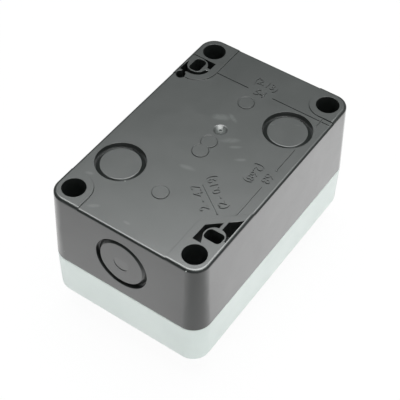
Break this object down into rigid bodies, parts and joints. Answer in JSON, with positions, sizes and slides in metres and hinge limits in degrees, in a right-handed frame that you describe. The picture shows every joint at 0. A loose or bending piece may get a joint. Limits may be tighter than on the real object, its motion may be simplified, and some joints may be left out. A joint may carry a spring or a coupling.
{
  "type": "pushbutton control station",
  "caption": "Small wall-mounted control station in a moulded plastic case, with flush pushbuttons, contact blocks and knock-out cable entries.",
  "frame": {"origin": "in the plane of the button rims, under the middle of the case, which lies face down", "axes": "+Z from the front to the back that goes against the wall, +Y along the case from the stop button to the start button, +X across it"},
  "size_m": [0.068, 0.105, 0.064],
  "materials": {
    "base_plastic": "satin dark grey moulding",
    "cover_plastic": "satin light grey moulding",
    "seal_rubber": "soft black",
    "bezel_plastic": "black, slightly glossy",
    "nut_plastic": "glass-filled, matte",
    "start_plastic": "green, satin",
    "stop_plastic": "red, satin",
    "slide_plastic": "natural acetal",
    "block_plastic": "grey moulding",
    "screw_steel": "zinc plated",
    "spring_steel": "bright wire",
    "contact_brass": "stamped"
  },
  "bodies": {
    "front": {"front_cover": "cover_plastic", "cover_gasket": "seal_rubber", "cover_screws": "screw_steel", "screw_retainers": "slide_plastic", "start_bezel": "bezel_plastic", "start_panel_seal": "seal_rubber", "start_fixing_nut": "nut_plastic", "start_stem_guide": "nut_plastic", "start_stem_seal": "seal_rubber", "start_return_spring": "spring_steel", "stop_bezel": "bezel_plastic", "stop_panel_seal": "seal_rubber", "stop_fixing_nut": "nut_plastic", "stop_stem_guide": "nut_plastic", "stop_stem_seal": "seal_rubber", "stop_return_spring": "spring_steel"},
    "base": {"back_box": "base_plastic", "start_block_housing": "block_plastic", "start_block_cover": "block_plastic", "start_plunger_spring": "spring_steel", "start_terminals": "contact_brass", "start_terminal_screws": "screw_steel", "start_clamp_plates": "screw_steel", "start_block_screws": "screw_steel", "stop_block_housing": "block_plastic", "stop_block_cover": "block_plastic", "stop_plunger_spring": "spring_steel", "stop_terminals": "contact_brass", "stop_terminal_screws": "screw_steel", "stop_clamp_plates": "screw_steel", "stop_block_screws": "screw_steel"},
    "start_button": {"start_cap": "start_plastic", "start_stem": "slide_plastic"},
    "stop_button": {"stop_cap": "stop_plastic", "stop_stem": "slide_plastic"},
    "start_contact": {"start_plunger": "slide_plastic", "start_contact_bridge": "contact_brass", "start_contact_spring": "spring_steel"},
    "stop_contact": {"stop_plunger": "slide_plastic", "stop_contact_bridge": "contact_brass", "stop_contact_spring": "spring_steel"}
  },
  "joints": [
    {"name": "base_lift", "type": "slide", "parent": "front", "child": "base", "axis": [0, 0, 1], "range_m": [0, 0.06]},
    {"name": "start_press", "type": "slide", "parent": "front", "child": "start_button", "axis": [0, 0, 1], "range_m": [0, 0.004], "stiffness_N_per_m": 600, "springref_m": -0.004, "deforming": ["start_return_spring"]},
    {"name": "stop_press", "type": "slide", "parent": "front", "child": "stop_button", "axis": [0, 0, 1], "range_m": [0, 0.004], "stiffness_N_per_m": 600, "springref_m": -0.004, "deforming": ["stop_return_spring"]},
    {"name": "start_contact_slide", "type": "slide", "parent": "base", "child": "start_contact", "axis": [0, 0, 1], "range_m": [0, 0.004], "stiffness_N_per_m": 150, "springref_m": -0.003, "deforming": ["start_plunger_spring"]},
    {"name": "stop_contact_slide", "type": "slide", "parent": "base", "child": "stop_contact", "axis": [0, 0, 1], "range_m": [0, 0.004], "stiffness_N_per_m": 150, "springref_m": -0.003, "deforming": ["stop_plunger_spring"]}
  ],
  "couplings": [
    {"joint": "start_contact_slide", "follows": "start_press", "ratio": 1},
    {"joint": "stop_contact_slide", "follows": "stop_press", "ratio": 1}
  ]
}
